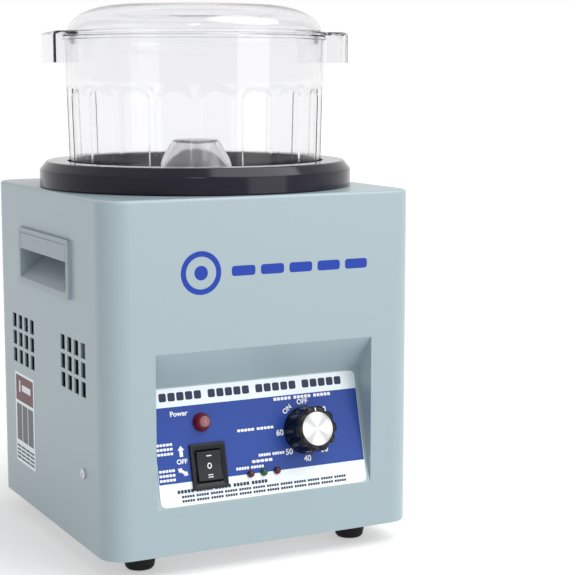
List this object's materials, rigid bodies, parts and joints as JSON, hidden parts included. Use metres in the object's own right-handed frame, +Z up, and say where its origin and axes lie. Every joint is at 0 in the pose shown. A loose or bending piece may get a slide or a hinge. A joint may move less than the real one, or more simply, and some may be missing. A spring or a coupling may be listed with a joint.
{
  "type": "magnetic tumbler",
  "caption": "Bench-top magnetic polishing tumbler with a clear lidded bowl seated over a motor-driven magnet disc in a steel casing with a sloped control panel.",
  "frame": {"origin": "on the surface that the feet stand on, under the middle of the casing", "axes": "+X to the machine's right as its user faces it, +Y to its back, +Z up"},
  "size_m": [0.245, 0.2651, 0.3955],
  "materials": {
    "paint": "smooth semi-gloss grey-green powder coat",
    "black_plastic": "moulded black, semi-gloss",
    "handle_plastic": "moulded, fine texture, painted to match the casing",
    "clear_plastic": "clear polycarbonate, polished",
    "rubber": "matte black",
    "steel": "bright zinc-plated",
    "zinc": "galvanised sheet",
    "magnet": "nickel-plated",
    "label": "printed film",
    "red_lens": "tinted lens",
    "green_lens": "tinted lens",
    "cap_metal": "spun-finished",
    "motor_paint": "satin black",
    "laminations": "stacked sheet",
    "copper": "varnished windings",
    "brass": "plated brass",
    "board": "solder-masked",
    "parts_blue": "component cases",
    "cream_plastic": "moulded",
    "capacitor": "drawn can",
    "glass": "fuse tube"
  },
  "bodies": {
    "housing": {"casing_shell": "paint", "rear_panel": "paint", "rear_screws": "steel", "base_plate": "zinc", "side_screws": "steel", "feet": "rubber", "foot_screws": "steel", "foot_nuts": "steel", "control_recess": "paint", "panel_label": "label", "side_label": "label", "handle_left": "handle_plastic", "handle_right": "handle_plastic", "collar_ring": "black_plastic", "collar_screws": "steel", "power_lamp": "red_lens", "lamp_nut": "steel", "rocker_frame": "black_plastic", "timer_body": "black_plastic", "timer_nut": "steel", "leds_red": "red_lens", "led_green": "green_lens", "fan_frame": "black_plastic", "fan_guard": "steel", "fan_screws": "steel", "inlet_body": "black_plastic", "inlet_pins": "brass", "inlet_screws": "steel", "fuse_holder": "black_plastic", "fuse_nut": "black_plastic", "motor_bracket": "zinc", "bracket_screws": "steel", "motor_can": "motor_paint", "motor_top_bell": "capacitor", "motor_lower_bell": "capacitor", "motor_stator": "laminations", "motor_windings": "copper", "motor_bearings": "steel", "motor_screws": "steel", "control_board": "board", "board_standoffs": "brass", "board_parts": "parts_blue", "run_capacitor": "capacitor", "capacitor_clip": "zinc", "terminal_block": "cream_plastic"},
    "bowl": {"bowl": "clear_plastic"},
    "lid": {"lid": "clear_plastic"},
    "timer": {"timer_shaft": "steel", "timer_knob": "black_plastic", "knob_cap": "cap_metal"},
    "rocker": {"rocker_paddle": "black_plastic"},
    "magnet_rotor": {"motor_rotor": "laminations", "motor_shaft": "steel", "disc_hub": "steel", "magnet_disc": "zinc", "magnets": "magnet", "disc_screws": "steel"},
    "fan": {"fan_rotor": "black_plastic"},
    "fuse": {"fuse_cap": "black_plastic", "fuse_link": "glass"}
  },
  "joints": [
    {"name": "bowl_lift", "type": "slide", "parent": "housing", "child": "bowl", "axis": [0, 0, 1], "range_m": [0, 0.06]},
    {"name": "lid_lift", "type": "slide", "parent": "bowl", "child": "lid", "axis": [0, 0, 1], "range_m": [0, 0.06]},
    {"name": "timer_turn", "type": "hinge", "parent": "housing", "child": "timer", "pos_m": [0.0355, -0.11016, 0.09082], "axis": [0, 0.968, -0.251], "range_deg": [-38, 270]},
    {"name": "rocker_tilt", "type": "hinge", "parent": "housing", "child": "rocker", "pos_m": [-0.0427, -0.11334, 0.07418], "axis": [1, 0, 0], "range_deg": [-10, 10]},
    {"name": "magnet_spin", "type": "hinge", "parent": "housing", "child": "magnet_rotor", "pos_m": [0, 0, 0.216], "axis": [0, 0, 1], "continuous": true},
    {"name": "fan_spin", "type": "hinge", "parent": "housing", "child": "fan", "pos_m": [0, 0.109, 0.166], "axis": [0, 1, 0], "continuous": true},
    {"name": "fuse_pull", "type": "slide", "parent": "housing", "child": "fuse", "axis": [0, 1, 0], "range_m": [0, 0.04]}
  ]
}
